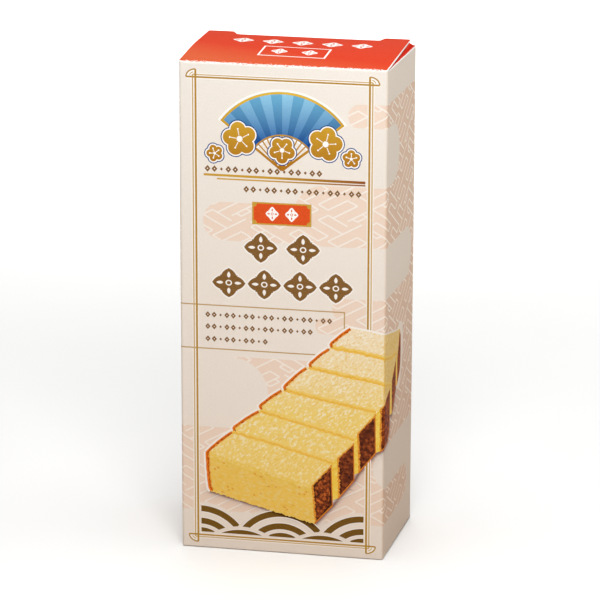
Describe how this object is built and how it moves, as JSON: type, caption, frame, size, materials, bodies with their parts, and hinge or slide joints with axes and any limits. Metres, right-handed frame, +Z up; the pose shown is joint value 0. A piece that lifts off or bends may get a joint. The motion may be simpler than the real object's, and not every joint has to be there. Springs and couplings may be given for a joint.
{
  "type": "tuck-end paperboard cake carton",
  "caption": "Shut upright paperboard carton with a hinged tuck lid standing slightly open behind, slit-lock ears and dust flaps at the sides.",
  "frame": {"origin": "middle of the carton at the surface it stands on", "axes": "+Z up, the front panel faces -Y, +X to the right of someone who looks at the front"},
  "size_m": [0.085, 0.054, 0.2034],
  "materials": {
    "board": "satin"
  },
  "bodies": {
    "root": {"carton": "board"}
  },
  "joints": []
}
